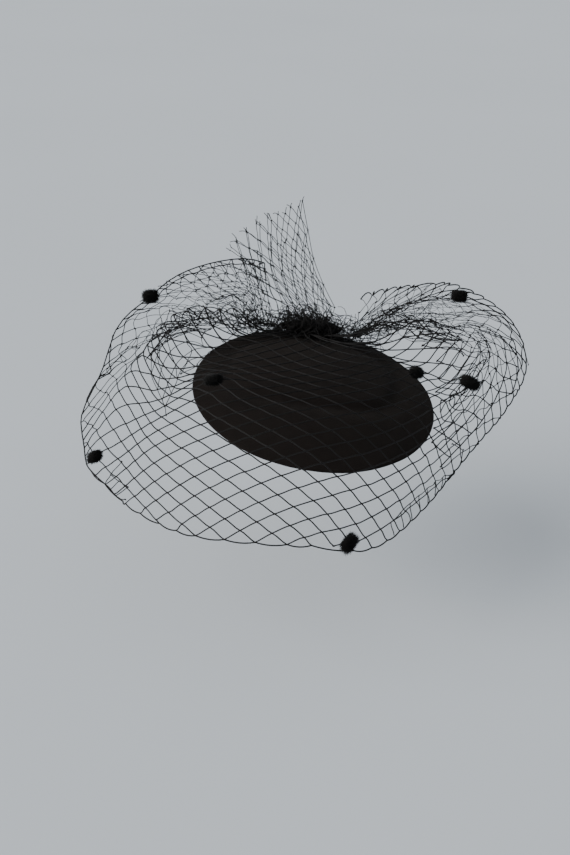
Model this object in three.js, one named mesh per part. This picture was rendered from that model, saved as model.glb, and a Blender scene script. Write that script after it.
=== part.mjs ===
import * as THREE from 'three';

// A veiled fascinator: a round felt base with a gathered net veil, a standing net fan and chenille dots.
// Millimetres. The rim of the base is centred on the origin, the front faces -Y and +Z is up as worn.

const SEAT_GAP = 0.3;

// Felt base, a shallow hollow dome tipped forward and to its wearer's left
const BASE_RADIUS = 75;
const BASE_RISE = 15;
const FELT_WALL = 2.4;
const BASE_TURNS = 56;
const DOME_STEPS = 7;
const RIM_STEPS = 4;
const TIP_FORWARD_DEG = 8;
const TIP_SIDE_DEG = 8;

// Gathered knot of net sewn on the back of the base
const KNOT_X = -4;
const KNOT_Y = 61;
const KNOT_HALF_LENGTH = 28;
const KNOT_HALF_DEPTH = 9;
const KNOT_HALF_HEIGHT = 6;
const KNOT_PLEATS = 12;
const KNOT_PLEAT_DEPTH = 0.7;
const KNOT_TURNS = 48;
const KNOT_RINGS = 8;
const KNOT_FLATNESS = 0.6;

// Veil net
const NET_THICK = 1.4;
const STRAND_WIDTH = 2.6;
const VEIL_START = 2.2;
const VEIL_CELLS = 16;
const VEIL_LEVELS = [0.21, 0.4, 0.49, 0.58, 0.68, 0.756, 0.856, 1];
const BAND_ROWS = 4;
const STRAND_STEPS = 2;
const SMALLEST_HOLE = 0.3;
const EDGE_WIDENING = 1.5;
const VEIL_PLEATS = 15;
const VEIL_PLEAT_DEPTH = 1.1;
const VEIL_PLEAT_END = 0.5;
const SHEET_ACROSS = 240;
const SHEET_DOWN = 64;

// Sections of the veil from its back left end, round the front, to its back right end.
// Bearings are in degrees from the front, one leaving the knot and one at the hem;
// reach and rise are measured from the knot.
const VEIL_COLUMNS = ['bearing', 'hemBearing', 'crownReach', 'crownRise', 'waistReach', 'waistRise',
  'bellyReach', 'bellyRise', 'hemReach', 'hemRise'];
const VEIL_ROWS = [
  [-122, -178, 4, 9, 6, 18, 8, 28, 9, 37],
  [-115, -127, 7, 9, 12, 19, 15, 30, 17, 41],
  [-108, -107, 13, 9, 25, 18, 34, 28, 40, 37],
  [-102, -100, 18, 8, 37, 14, 52, 21, 62, 28],
  [-98, -94, 20, 7, 43, 10, 61, 15, 76, 19],
  [-95, -87, 22, 6, 49, 6, 74, 4, 95, 1],
  [-91, -81, 24, 4, 53, 3, 83, -9, 107, -26],
  [-86, -74, 25, 5, 55, 5, 88, -18, 122, -47],
  [-79, -64, 24, 9, 57, 14, 90, -14, 127, -53],
  [-70, -55, 17, 15, 58, 22, 92, -8, 132, -56],
  [-59, -48, 28, 2, 68, -7, 102, -28, 137, -58],
  [-48, -41, 36, -3, 80, -11, 116, -30, 144, -59],
  [-35, -34, 45, 0, 96, -5, 132, -27, 151, -60],
  [-22, -22, 48, 2, 106, -2, 142, -25, 159, -60],
  [-10, -10, 50, 2, 110, -2, 146, -24, 162, -57],
  [1, 1, 48, 2, 108, -2, 144, -26, 159, -58],
  [11, 11, 46, 2, 100, -4, 132, -31, 149, -66],
  [24, 23, 42, 3, 86, -4, 114, -26, 128, -60],
  [39, 36, 34, 3, 68, -4, 96, -17, 111, -50],
  [51, 47, 30, 3, 64, -5, 92, -12, 106, -39],
  [64, 60, 16, 17, 58, 21, 90, 5, 107, -27],
  [75, 76, 23, 9, 54, 12, 88, 9, 111, -9],
  [83, 85, 22, 6, 47, 9, 78, 13, 102, 10],
  [90, 92, 20, 6, 42, 10, 66, 16, 86, 22],
  [97, 101, 17, 8, 32, 14, 47, 22, 59, 30],
  [104, 107, 12, 8, 21, 14, 30, 21, 38, 28],
  [112, 115, 8, 8, 14, 13, 20, 19, 25, 25],
  [124, 152, 4, 5, 6, 10, 8, 14, 9, 18],
];

// Standing fan of net behind the knot, folded along these lines from left to right
const FAN_CELLS = 3;
const FAN_LEVELS = [0.22, 0.42, 0.62, 0.82, 1];
const FAN_FOOT_Y = 65;
const FAN_BOW = 3;
const FAN_ACROSS = 96;
const FAN_DOWN = 48;
const FAN_COLUMNS = ['footX', 'tipX', 'tipY', 'tipZ'];
const FAN_ROWS = [
  [-18, -54, 88, 68],
  [-11, -47, 80, 79],
  [-4, -35, 90, 87],
  [3, -21, 80, 95],
  [10, -7, 86, 104],
];

// Chenille dots: place on the net in half cells along the hem and levels down, half sizes and turn
const DOT_COLUMNS = ['along', 'down', 'halfLength', 'halfWidth', 'turnDeg'];
const DOT_HALF_THICK = 3;
const DOT_TURNS = 12;
const DOT_RINGS = 8;
const DOT_NUBS = 5;
const DOT_NUB_DEPTH = 0.35;
const DOT_ROWS = [
  [3.6, 6.7, 5.4, 4.4, -35],
  [13.1, 2.1, 5.6, 4.2, 25],
  [9.8, 6.7, 5.4, 3.9, 55],
  [17.8, 6.9, 6, 4.2, 55],
  [22.7, 2.3, 5, 4.4, 15],
  [24.3, 4.9, 6.6, 4.1, -80],
  [28.8, 6.4, 5.4, 4.1, 15],
];

// Plain hair comb sewn under the front of the base
const COMB_WIDTH = 46;
const COMB_SPINE = 7;
const COMB_TOOTH_LENGTH = 26;
const COMB_TOOTH_WIDTH = 2.6;
const COMB_TEETH = 9;
const COMB_THICK = 1.6;
const COMB_FRONT_Y = -52;
const COMB_TILT_DEG = 6;

const FELT_COLOUR = 0x191614;
const NET_COLOUR = 0x1c1b1b;
const DOT_COLOUR = 0x0f0e0e;
const COMB_COLOUR = 0x141414;
const FELT_ROUGHNESS = 0.95;
const NET_ROUGHNESS = 0.7;
const DOT_ROUGHNESS = 1;
const COMB_ROUGHNESS = 0.35;

const tip = new THREE.Euler(
  THREE.MathUtils.degToRad(TIP_FORWARD_DEG), THREE.MathUtils.degToRad(TIP_SIDE_DEG), 0);

function readRows(columns, rows) {
  return rows.map((row) => Object.fromEntries(columns.map((name, index) => [name, row[index]])));
}

function domeUnder(x, y) {
  return BASE_RISE * (1 - (x * x + y * y) / (BASE_RADIUS * BASE_RADIUS));
}

function domeTop(x, y) {
  return domeUnder(x, y) + FELT_WALL;
}

// A closed solid from vertex points and triangles
function solidFrom(points, triangles) {
  const geometry = new THREE.BufferGeometry();
  const flat = points.flatMap((point) => [point.x, point.y, point.z]);
  geometry.setAttribute('position', new THREE.Float32BufferAttribute(flat, 3));
  geometry.setIndex(triangles.flat());
  geometry.computeVertexNormals();
  return geometry;
}

// A closed solid from rings of points stacked one above the other, each end closed to its middle
function ringSolid(rings) {
  const turns = rings[0].length;
  const points = rings.flat();
  const triangles = [];
  for (let ring = 0; ring + 1 < rings.length; ring += 1) {
    for (let turn = 0; turn < turns; turn += 1) {
      const next = (turn + 1) % turns;
      const a = ring * turns + turn;
      const b = ring * turns + next;
      const c = a + turns;
      const d = b + turns;
      triangles.push([a, b, d], [a, d, c]);
    }
  }
  const middle = (ring) => ring.reduce((sum, point) => sum.add(point), new THREE.Vector3())
    .divideScalar(turns);
  const bottom = points.push(middle(rings[0])) - 1;
  const top = points.push(middle(rings[rings.length - 1])) - 1;
  const last = (rings.length - 1) * turns;
  for (let turn = 0; turn < turns; turn += 1) {
    const next = (turn + 1) % turns;
    triangles.push([bottom, next, turn], [top, last + turn, last + next]);
  }
  return solidFrom(points, triangles);
}

// Felt base
function feltBase() {
  const profile = [];
  const edge = BASE_RADIUS - FELT_WALL / 2;
  for (let step = 0; step <= DOME_STEPS; step += 1) {
    const reach = edge * step / DOME_STEPS;
    profile.push(new THREE.Vector2(reach, domeUnder(reach, 0)));
  }
  const rimMiddle = domeUnder(edge, 0) + FELT_WALL / 2;
  for (let step = 1; step < RIM_STEPS; step += 1) {
    const angle = Math.PI * (step / RIM_STEPS - 0.5);
    profile.push(new THREE.Vector2(
      edge + Math.cos(angle) * FELT_WALL / 2, rimMiddle + Math.sin(angle) * FELT_WALL / 2));
  }
  for (let step = DOME_STEPS; step >= 0; step -= 1) {
    const reach = edge * step / DOME_STEPS;
    profile.push(new THREE.Vector2(reach, domeTop(reach, 0)));
  }
  const geometry = new THREE.LatheGeometry(profile, BASE_TURNS);
  geometry.rotateX(Math.PI / 2);
  return geometry;
}

// Gathered knot, measured in the frame of the base it sits on
function knotFloor(x, y) {
  return domeTop(x, y) + SEAT_GAP;
}

function knotTop(x, y) {
  const spread = Math.hypot((x - KNOT_X) / KNOT_HALF_LENGTH, (y - KNOT_Y) / KNOT_HALF_DEPTH);
  const rest = Math.max(0, 1 - spread ** (2 / KNOT_FLATNESS));
  return knotFloor(x, y) + KNOT_HALF_HEIGHT * (1 + Math.sqrt(rest));
}

function gatheredKnot() {
  const rings = [];
  for (let ring = 0; ring < KNOT_RINGS; ring += 1) {
    const height = Math.PI * ((ring + 0.5) / KNOT_RINGS - 0.5);
    const spread = Math.cos(height) ** KNOT_FLATNESS;
    const points = [];
    for (let turn = 0; turn < KNOT_TURNS; turn += 1) {
      const angle = 2 * Math.PI * turn / KNOT_TURNS;
      const pleat = KNOT_PLEAT_DEPTH * Math.cos(KNOT_PLEATS * angle);
      const x = KNOT_X + spread * (KNOT_HALF_LENGTH + pleat) * Math.cos(angle);
      const y = KNOT_Y + spread * (KNOT_HALF_DEPTH + pleat) * Math.sin(angle);
      const lift = KNOT_HALF_HEIGHT * (1 + Math.sin(height));
      points.push(new THREE.Vector3(x, y, knotFloor(x, y) + lift));
    }
    rings.push(points);
  }
  return ringSolid(rings);
}

// A smooth sheet of points laid over sections, each section a curve from the knot outward
function smoothCurve(points) {
  const curve = new THREE.CatmullRomCurve3(points, false, 'centripetal');
  curve.arcLengthDivisions = SHEET_ACROSS;
  return curve;
}

function sheetOver(sections, across, down) {
  const curves = sections.map(smoothCurve);
  const levels = [];
  for (let row = 0; row <= down; row += 1) {
    const level = smoothCurve(curves.map((curve) => curve.getPointAt(row / down)));
    levels.push(level.getSpacedPoints(across));
  }
  return { levels, across, down };
}

function sheetPoint(sheet, along, out) {
  const column = Math.min(Math.max(along, 0), 1) * sheet.across;
  const row = Math.min(Math.max(out, 0), 1) * sheet.down;
  const left = Math.min(Math.floor(column), sheet.across - 1);
  const upper = Math.min(Math.floor(row), sheet.down - 1);
  const first = sheet.levels[upper][left].clone().lerp(sheet.levels[upper][left + 1], column - left);
  const second = sheet.levels[upper + 1][left].clone()
    .lerp(sheet.levels[upper + 1][left + 1], column - left);
  return first.lerp(second, row - upper);
}

function sheetNormal(sheet, along, out) {
  const stepAlong = 1 / sheet.across;
  const stepOut = 1 / sheet.down;
  const sideways = sheetPoint(sheet, along + stepAlong, out)
    .sub(sheetPoint(sheet, along - stepAlong, out));
  const outward = sheetPoint(sheet, along, out + stepOut)
    .sub(sheetPoint(sheet, along, out - stepOut));
  return outward.cross(sideways).normalize();
}

function levelAt(levels, place) {
  const lower = Math.min(Math.max(Math.floor(place), 0), levels.length - 2);
  return levels[lower] + (levels[lower + 1] - levels[lower]) * (place - lower);
}

// A pierced net: diamond holes in a thin sheet, with a plain gathered band along its inner edge.
// Places on the net count half cells along and levels outward.
function piercedNet(sheet, settings) {
  const { cells, levels, openHem } = settings;
  const lastColumn = 2 * cells;
  const lastLevel = levels.length - 1;
  const spots = [];
  const spotIndex = new Map();
  const triangles = [];

  function outAt(place) {
    return place < 0 ? levels[0] * (1 + place / BAND_ROWS) : levelAt(levels, place);
  }

  function pointAt(column, place) {
    return sheetPoint(sheet, column / lastColumn, outAt(place));
  }

  function spot(column, place) {
    const key = `${column.toFixed(4)} ${place.toFixed(4)}`;
    if (!spotIndex.has(key)) {
      spotIndex.set(key, spots.push([column, place]) - 1);
    }
    return spotIndex.get(key);
  }

  function sideSpots(from, to) {
    const steps = STRAND_STEPS * Math.max(Math.abs(to[0] - from[0]), Math.abs(to[1] - from[1]));
    const side = [];
    for (let step = 0; step < steps; step += 1) {
      const part = step / steps;
      side.push([from[0] + (to[0] - from[0]) * part, from[1] + (to[1] - from[1]) * part]);
    }
    return side;
  }

  function sideDistance(middle, from, to) {
    const line = new THREE.Line3(pointAt(...from), pointAt(...to));
    const nearest = line.closestPointToPoint(middle, true, new THREE.Vector3());
    return nearest.distanceTo(middle);
  }

  function addCell(corners, pierced) {
    const middle = [0, 1].map((axis) => corners.reduce((sum, corner) => sum + corner[axis], 0)
      / corners.length);
    const turnOf = (corner) => Math.atan2(corner[1] - middle[1], corner[0] - middle[0]);
    corners.sort((first, second) => turnOf(first) - turnOf(second));
    const outer = corners.flatMap((corner, index) => (
      sideSpots(corner, corners[(index + 1) % corners.length])));
    const middlePoint = pointAt(...middle);
    const nearest = Math.min(...outer.map((place, index) => (
      sideDistance(middlePoint, place, outer[(index + 1) % outer.length]))));
    const widening = corners.length === 3 ? EDGE_WIDENING : 1;
    const scale = 1 - widening * STRAND_WIDTH / 2 / nearest;
    const outerSpots = outer.map((place) => spot(...place));
    if (!pierced || scale < SMALLEST_HOLE) {
      const centre = spot(...middle);
      outerSpots.forEach((current, index) => {
        triangles.push([current, outerSpots[(index + 1) % outerSpots.length], centre]);
      });
      return;
    }
    const innerSpots = outer.map((place) => spot(
      middle[0] + (place[0] - middle[0]) * scale, middle[1] + (place[1] - middle[1]) * scale));
    outerSpots.forEach((current, index) => {
      const next = (index + 1) % outerSpots.length;
      triangles.push([current, outerSpots[next], innerSpots[next]]);
      triangles.push([current, innerSpots[next], innerSpots[index]]);
    });
  }

  for (let level = 0; level <= lastLevel - (openHem ? 1 : 0); level += 1) {
    for (let column = level % 2; column <= lastColumn; column += 2) {
      const corners = [
        [column - 1, level], [column, level - 1], [column + 1, level], [column, level + 1]];
      const kept = corners.filter(([across, out]) => across >= 0 && across <= lastColumn
        && out >= 0 && out <= lastLevel);
      if (kept.length === 2) {
        kept.push([column, level]);
      }
      addCell(kept, level > 0);
    }
  }

  for (let row = 0; row < BAND_ROWS; row += 1) {
    for (let step = 0; step < lastColumn * STRAND_STEPS; step += 1) {
      const left = step / STRAND_STEPS;
      const right = (step + 1) / STRAND_STEPS;
      const inner = row - BAND_ROWS;
      const corners = [
        spot(left, inner), spot(right, inner), spot(right, inner + 1), spot(left, inner + 1)];
      triangles.push([corners[0], corners[1], corners[2]], [corners[0], corners[2], corners[3]]);
    }
  }

  const places = spots.map(([column, place]) => [column / lastColumn, outAt(place)]);
  return thickened(sheet, places, triangles);
}

// Gives a sheet of triangles its thickness and closes every edge
function thickened(sheet, places, triangles) {
  const upper = [];
  const lower = [];
  places.forEach(([along, out]) => {
    const normal = sheetNormal(sheet, along, out);
    const middle = sheetPoint(sheet, along, out);
    upper.push(middle.clone().addScaledVector(normal, NET_THICK / 2));
    lower.push(middle.clone().addScaledVector(normal, -NET_THICK / 2));
  });
  const count = places.length;
  const edges = new Set();
  triangles.forEach(([a, b, c]) => {
    edges.add(`${a} ${b}`);
    edges.add(`${b} ${c}`);
    edges.add(`${c} ${a}`);
  });
  const faces = [];
  triangles.forEach(([a, b, c]) => {
    faces.push([a, c, b], [a + count, b + count, c + count]);
  });
  edges.forEach((edge) => {
    const [from, to] = edge.split(' ').map(Number);
    if (!edges.has(`${to} ${from}`)) {
      faces.push([from, to, to + count], [from, to + count, from + count]);
    }
  });
  return solidFrom([...upper, ...lower], faces);
}

// Veil
function veilStart(bearing) {
  const x = KNOT_X + (KNOT_HALF_LENGTH + VEIL_START) * Math.sin(bearing);
  const y = KNOT_Y - (KNOT_HALF_DEPTH + VEIL_START) * Math.cos(bearing);
  return new THREE.Vector3(x, y, knotFloor(x, y) + KNOT_HALF_HEIGHT).applyEuler(tip);
}

function veilSection(row) {
  const leaving = THREE.MathUtils.degToRad(row.bearing);
  const arriving = THREE.MathUtils.degToRad(row.hemBearing);
  const start = veilStart(leaving);
  const place = (bearing, reach, rise) => new THREE.Vector3(
    start.x + reach * Math.sin(bearing), start.y - reach * Math.cos(bearing), start.z + rise);
  return [
    start,
    place(leaving, row.crownReach, row.crownRise),
    place(leaving, row.waistReach, row.waistRise),
    place((leaving + arriving) / 2, row.bellyReach, row.bellyRise),
    place(arriving, row.hemReach, row.hemRise),
  ];
}

function pleatSheet(sheet) {
  const levels = sheet.levels.map((level, row) => level.map((point, column) => {
    const along = column / sheet.across;
    const out = row / sheet.down;
    const fade = Math.max(0, 1 - out / VEIL_PLEAT_END);
    const wave = Math.cos(2 * Math.PI * VEIL_PLEATS * along);
    const depth = VEIL_PLEAT_DEPTH * fade * wave;
    return point.clone().addScaledVector(sheetNormal(sheet, along, out), depth);
  }));
  return { ...sheet, levels };
}

// Fan
function fanFold(row) {
  const foot = new THREE.Vector3(row.footX, FAN_FOOT_Y, knotTop(row.footX, FAN_FOOT_Y) + SEAT_GAP);
  foot.applyEuler(tip);
  const end = new THREE.Vector3(row.tipX, row.tipY, row.tipZ);
  const middle = foot.clone().lerp(end, 0.5).add(new THREE.Vector3(FAN_BOW, FAN_BOW, 0));
  return [foot, middle, end];
}

// Chenille dot, an oblong nubbly tuft
function chenilleDot(row) {
  const rings = [];
  for (let ring = 0; ring < DOT_RINGS; ring += 1) {
    const height = Math.PI * ((ring + 0.5) / DOT_RINGS - 0.5);
    const points = [];
    for (let turn = 0; turn < DOT_TURNS; turn += 1) {
      const angle = 2 * Math.PI * turn / DOT_TURNS;
      const nub = DOT_NUB_DEPTH * Math.sin(DOT_NUBS * angle + ring);
      const spread = Math.sqrt(Math.cos(height));
      points.push(new THREE.Vector3(
        spread * (row.halfLength + nub) * Math.cos(angle),
        spread * (row.halfWidth + nub) * Math.sin(angle),
        DOT_HALF_THICK * Math.sin(height)));
    }
    rings.push(points);
  }
  return ringSolid(rings);
}

function seatDot(mesh, sheet, row) {
  const along = row.along / (2 * VEIL_CELLS);
  const out = levelAt(VEIL_LEVELS, row.down);
  const normal = sheetNormal(sheet, along, out);
  const point = sheetPoint(sheet, along, out);
  const onward = sheetPoint(sheet, along + 1 / sheet.across, out).sub(point).normalize();
  onward.applyAxisAngle(normal, THREE.MathUtils.degToRad(row.turnDeg));
  const sideways = normal.clone().cross(onward).normalize();
  onward.crossVectors(sideways, normal);
  const lift = NET_THICK / 2 + SEAT_GAP + DOT_HALF_THICK;
  mesh.position.copy(point.addScaledVector(normal, lift));
  mesh.setRotationFromMatrix(new THREE.Matrix4().makeBasis(onward, sideways, normal));
}

// Comb
function hairComb() {
  const half = COMB_WIDTH / 2;
  const pitch = (COMB_WIDTH - COMB_TOOTH_WIDTH) / (COMB_TEETH - 1);
  const outline = new THREE.Shape();
  outline.moveTo(-half, 0);
  outline.lineTo(half, 0);
  outline.lineTo(half, COMB_SPINE);
  for (let tooth = COMB_TEETH - 1; tooth >= 0; tooth -= 1) {
    const left = -half + tooth * pitch;
    const right = left + COMB_TOOTH_WIDTH;
    const narrow = COMB_TOOTH_WIDTH / 4;
    outline.lineTo(right, COMB_SPINE);
    outline.lineTo(right - narrow, COMB_SPINE + COMB_TOOTH_LENGTH);
    outline.lineTo(left + narrow, COMB_SPINE + COMB_TOOTH_LENGTH);
    outline.lineTo(left, COMB_SPINE);
  }
  outline.closePath();
  return new THREE.ExtrudeGeometry(outline, { depth: COMB_THICK, bevelEnabled: false });
}

function finish(color, roughness) {
  return new THREE.MeshStandardMaterial({ color, roughness, metalness: 0 });
}

function named(name, geometry, material) {
  const mesh = new THREE.Mesh(geometry, material);
  mesh.name = name;
  return mesh;
}

const fascinator = new THREE.Group();
fascinator.name = 'fascinator';

const tippedBase = new THREE.Group();
tippedBase.name = 'tipped_base';
tippedBase.rotation.copy(tip);
fascinator.add(tippedBase);

tippedBase.add(named('felt_base', feltBase(), finish(FELT_COLOUR, FELT_ROUGHNESS)));
tippedBase.add(named('gather_knot', gatheredKnot(), finish(NET_COLOUR, NET_ROUGHNESS)));

const comb = named('hair_comb', hairComb(), finish(COMB_COLOUR, COMB_ROUGHNESS));
const combCorner = domeUnder(COMB_WIDTH / 2, COMB_FRONT_Y);
comb.position.set(0, COMB_FRONT_Y, combCorner - SEAT_GAP - COMB_THICK);
comb.rotation.x = THREE.MathUtils.degToRad(COMB_TILT_DEG);
tippedBase.add(comb);

const veilSections = readRows(VEIL_COLUMNS, VEIL_ROWS).map(veilSection);
const veilSheet = pleatSheet(sheetOver(veilSections, SHEET_ACROSS, SHEET_DOWN));
const veilSettings = { cells: VEIL_CELLS, levels: VEIL_LEVELS, openHem: false };
const veilNet = piercedNet(veilSheet, veilSettings);
fascinator.add(named('veil_net', veilNet, finish(NET_COLOUR, NET_ROUGHNESS)));

const fanFolds = readRows(FAN_COLUMNS, FAN_ROWS).map(fanFold);
const fanSheet = sheetOver(fanFolds, FAN_ACROSS, FAN_DOWN);
const fanSettings = { cells: FAN_CELLS, levels: FAN_LEVELS, openHem: true };
const netFan = piercedNet(fanSheet, fanSettings);
fascinator.add(named('net_fan', netFan, finish(NET_COLOUR, NET_ROUGHNESS)));

readRows(DOT_COLUMNS, DOT_ROWS).forEach((row, index) => {
  const dot = named(`chenille_dot_${index + 1}`, chenilleDot(row), finish(DOT_COLOUR, DOT_ROUGHNESS));
  seatDot(dot, veilSheet, row);
  fascinator.add(dot);
});

export default fascinator;
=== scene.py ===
import math

import bpy
import numpy as np
from mathutils import Euler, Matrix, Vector, noise


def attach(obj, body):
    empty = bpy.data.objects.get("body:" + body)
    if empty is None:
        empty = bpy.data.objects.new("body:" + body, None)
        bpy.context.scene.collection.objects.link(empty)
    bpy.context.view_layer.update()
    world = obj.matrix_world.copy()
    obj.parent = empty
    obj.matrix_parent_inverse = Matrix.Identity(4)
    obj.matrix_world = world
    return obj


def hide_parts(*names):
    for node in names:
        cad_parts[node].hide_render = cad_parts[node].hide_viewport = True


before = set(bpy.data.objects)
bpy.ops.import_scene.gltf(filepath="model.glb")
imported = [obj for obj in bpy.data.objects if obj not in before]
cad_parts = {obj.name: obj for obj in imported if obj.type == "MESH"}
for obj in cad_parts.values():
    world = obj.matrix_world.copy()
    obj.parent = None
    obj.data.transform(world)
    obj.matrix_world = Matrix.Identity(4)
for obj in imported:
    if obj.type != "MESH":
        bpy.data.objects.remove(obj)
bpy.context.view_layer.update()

ROOT = "root"
SEED = 11
MM_PER_METRE = 1000

# Least length and time to divide by, least slant of a heading, and what keeps sides off headings
LEAST_LENGTH = 1e-9
LEAST_TIME = 1e-6
LEAST_SLANT = 0.1
SIDE_SHIFT = 0.3

# Felt base: metres, its rim centred on the origin and tipped as worn
BASE_RADIUS = 0.075
BASE_RISE = 0.015
FELT_WALL = 0.0024
TIP_FORWARD = math.radians(8)
TIP_SIDE = math.radians(8)
TIPPING = np.array(Euler((TIP_FORWARD, TIP_SIDE, 0)).to_matrix())
FELT_TURNS = 192
FELT_DOME_STEPS = 64
FELT_RIM_STEPS = 8
FELT_FIRST_RING = 0.004
FELT_WAVE = 0.00035
FELT_WAVE_LENGTH = 0.03
FELT_PILL = 0.00012
FELT_PILL_LENGTH = 0.004
FELT_HAIRS = 9000
FELT_HAIRS_ABOVE = 0.7
FELT_HAIR_LENGTH = 0.0011
FELT_HAIR_SHARE = (0.4, 1)
FELT_HAIR_WIDTH = 0.00005
FELT_HAIR_RISE = 0.35
FELT_MOTTLE_SHADE = 0.6
FELT_MOTTLE_HEIGHT = 0.5
FELT_ROUGHNESS = (0.86, 0.14)

# Line pressed into the felt round a low oval crown, fading out under the knot
PRESSED_X = -0.0015
PRESSED_Y = 0.013
PRESSED_HALF_WIDTH = 0.052
PRESSED_HALF_DEPTH = 0.040
PRESSED_POWER = 2.6
PRESSED_IN = 0.0021
PRESSED_CROWN_SIDE = 0.003
PRESSED_BRIM_SIDE = 0.007
PRESSED_FADE = (0.042, 0.054)

# Gathered knot on the back of the base
KNOT_X = -0.004
KNOT_Y = 0.061
KNOT_HALF_LENGTH = 0.028
KNOT_HALF_DEPTH = 0.009
KNOT_HALF_HEIGHT = 0.006
KNOT_FLATNESS = 0.6
KNOT_PLEATS = 34
KNOT_PLEAT_DEPTH = 0.0009
KNOT_PLEAT_SWAY = 2
KNOT_PLEAT_BENDS = 3
KNOT_CORE = 0.68
KNOT_RUFFLE = 0.0025
RUFFLE_LENGTH = 0.004
KNOT_TURNS = 272
KNOT_RINGS = 28
SEAT_GAP = 0.0003
VEIL_START = 0.0022

# Curls of net crowded round the knot: how many, how far they spread and how big they are
CURLS = 420
CURL_THREAD = 0.00018
CURL_SPREAD = (0.017, 0.0055, 0.004)
CURL_LIFT = 0.007
CURL_RADIUS = (0.0022, 0.0068)
CURL_TURNS = (0.5, 1.2)
CURL_DRIFT = 0.008
CURL_STEPS = 16

# Net thread: how much of its radius is left where it is crowded and how much it loses in the puffs,
# the selvage's radius, and the beads at its knots
THREAD_CROWDED = 0.52
PUFF_THIN = 0.35
PUFF_END = (0.8, 0.95)
SELVAGE = 0.00044
THREAD_SIDES = 5
STRAND_STEPS = 4
BEAD_LENGTH = 0.0018
BEAD_CROWDED = 0.5
BEAD_SHAPE = np.array((0.5, 1.2, 1.35, 1.2, 0.5))

# Sections of the veil from its back left end, round the front, to its back right end.
# Bearings are in degrees from the front; reach and rise, in millimetres, are measured from the knot.
VEIL_COLUMNS = ("bearing", "hem_bearing", "crown_reach", "crown_rise", "waist_reach", "waist_rise",
                "belly_reach", "belly_rise", "hem_reach", "hem_rise")
VEIL_ROWS = (
    (-122, -178, 4, 9, 6, 18, 8, 28, 9, 37),
    (-115, -127, 7, 9, 12, 19, 15, 30, 17, 41),
    (-108, -107, 13, 9, 25, 18, 34, 28, 40, 37),
    (-102, -100, 18, 8, 37, 14, 52, 21, 62, 28),
    (-98, -94, 20, 7, 43, 10, 61, 15, 76, 19),
    (-95, -87, 22, 6, 49, 6, 74, 4, 95, 1),
    (-91, -81, 24, 4, 53, 3, 83, -9, 107, -26),
    (-86, -74, 25, 5, 55, 5, 88, -18, 122, -47),
    (-79, -64, 24, 9, 57, 14, 90, -14, 127, -53),
    (-70, -55, 17, 15, 58, 22, 92, -8, 132, -56),
    (-59, -48, 28, 2, 68, -7, 102, -28, 137, -58),
    (-48, -41, 36, -3, 80, -11, 116, -30, 144, -59),
    (-35, -34, 45, 0, 96, -5, 132, -27, 151, -60),
    (-22, -22, 48, 2, 106, -2, 142, -25, 159, -60),
    (-10, -10, 50, 2, 110, -2, 146, -24, 162, -57),
    (1, 1, 48, 2, 108, -2, 144, -26, 159, -58),
    (11, 11, 46, 2, 100, -4, 132, -31, 149, -66),
    (24, 23, 42, 3, 86, -4, 114, -26, 128, -60),
    (39, 36, 34, 3, 68, -4, 96, -17, 111, -50),
    (51, 47, 30, 3, 64, -5, 92, -12, 106, -39),
    (64, 60, 16, 17, 58, 21, 90, 5, 107, -27),
    (75, 76, 23, 9, 54, 12, 88, 9, 111, -9),
    (83, 85, 22, 6, 47, 9, 78, 13, 102, 10),
    (90, 92, 20, 6, 42, 10, 66, 16, 86, 22),
    (97, 101, 17, 8, 32, 14, 47, 22, 59, 30),
    (104, 107, 12, 8, 21, 14, 30, 21, 38, 28),
    (112, 115, 8, 8, 14, 13, 20, 19, 25, 25),
    (124, 152, 4, 5, 6, 10, 8, 14, 9, 18),
)
VEIL_CENTRE = -10

# Steps of a sheet: along its sections, across each column of its net, and from point to point of a curve
SHEET_DOWN = 160
SHEET_ACROSS = 4
CURVE_STEPS = 24

# The veil's cells by bearing: their width and strand, how many rows the hem crosses from one column
# to the next, how firmly the cells keep their width inward, and how far the gather bunches the rows
CELL_COLUMNS = ("bearing", "width", "strand", "slope", "firm", "bunch")
CELL_ROWS = (
    (-102, 0.0106, 0.0075, 1.0, 0.0, 0.005),
    (-95, 0.0120, 0.0082, 1.3, 0.0, 0.005),
    (-91, 0.0140, 0.0088, 1.7, 0.0, 0.005),
    (-86, 0.0172, 0.0102, 2.2, 0.2, 0.01),
    (-79, 0.0200, 0.0116, 2.4, 0.7, 0.02),
    (-70, 0.0206, 0.0121, 2.0, 1.0, 0.03),
    (-59, 0.0200, 0.0118, 1.3, 1.0, 0.04),
    (-48, 0.0190, 0.0112, 0.8, 1.0, 0.03),
    (-35, 0.0180, 0.0106, 0.4, 1.0, 0.03),
    (-22, 0.0174, 0.0102, 0.15, 1.0, 0.03),
    (-10, 0.0174, 0.0102, 0.0, 1.0, 0.03),
    (1, 0.0174, 0.0102, -0.3, 1.0, 0.03),
    (11, 0.0174, 0.0102, -0.7, 1.0, 0.03),
    (24, 0.0174, 0.0102, -1.2, 1.0, 0.03),
    (39, 0.0174, 0.0102, -1.9, 0.9, 0.03),
    (51, 0.0170, 0.0102, -2.2, 0.6, 0.02),
    (64, 0.0160, 0.0100, -2.2, 0.3, 0.01),
    (75, 0.0145, 0.0096, -1.8, 0.1, 0.005),
    (83, 0.0130, 0.0090, -1.3, 0.0, 0.005),
    (90, 0.0110, 0.0085, -0.8, 0.0, 0.005),
    (97, 0.0094, 0.0080, -0.3, 0.0, 0.005),
    (104, 0.0086, 0.0080, 0.0, 0.0, 0.005),
)
FIRM_OUT = (0.05, 0.45)
SOFT_COLUMNS = 4
SOFT_ROWS = 3
LOWEST_CELL = 0.35
BUNCHED_PITCH = 0.5
MOST_ROWS = 60
SIDE_MARGIN = 24
HEM_SLACK = 0.3
SHORTEST_END = 0.15

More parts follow.
